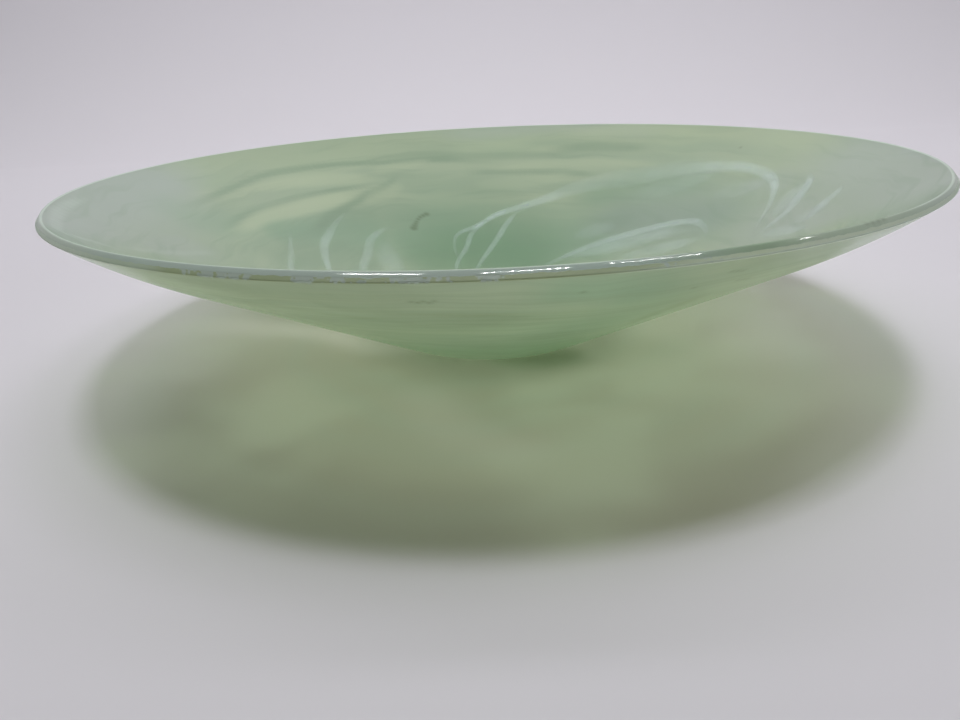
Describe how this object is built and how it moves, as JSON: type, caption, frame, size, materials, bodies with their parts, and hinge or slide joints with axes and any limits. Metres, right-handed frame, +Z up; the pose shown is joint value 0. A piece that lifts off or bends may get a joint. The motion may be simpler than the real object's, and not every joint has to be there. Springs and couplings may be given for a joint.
{
  "type": "decorative bowl",
  "caption": "Wide shallow conical art glass bowl with a small flat base and a cut rim, in streaky pale green glass with white opal trails fused into its inner face.",
  "frame": {"origin": "centre of the flat base, on the surface that the bowl stands on", "axes": "+Z up along the bowl's axis of turning, the white arc's tip lies towards +X, and the bowl is seen from -Y"},
  "size_m": [0.3994, 0.3994, 0.0873],
  "materials": {
    "streaky_green_glass": "glossy fire-polished translucent glass, streaked from yellow-green to aqua, with a ground rim",
    "white_opal_glass": "glossy milky blue-white glass with soft edges, fused flush with the inner face"
  },
  "bodies": {
    "root": {"glass_wall": "streaky_green_glass", "opal_trail_great_arc": "white_opal_glass", "opal_trail_inner_hook": "white_opal_glass", "opal_trail_crescent": "white_opal_glass", "opal_trail_crescent_lining": "white_opal_glass", "opal_trail_right_ray": "white_opal_glass", "opal_trail_right_feather": "white_opal_glass", "opal_trail_left_outer": "white_opal_glass", "opal_trail_left_middle": "white_opal_glass", "opal_trail_left_inner": "white_opal_glass"}
  },
  "joints": []
}
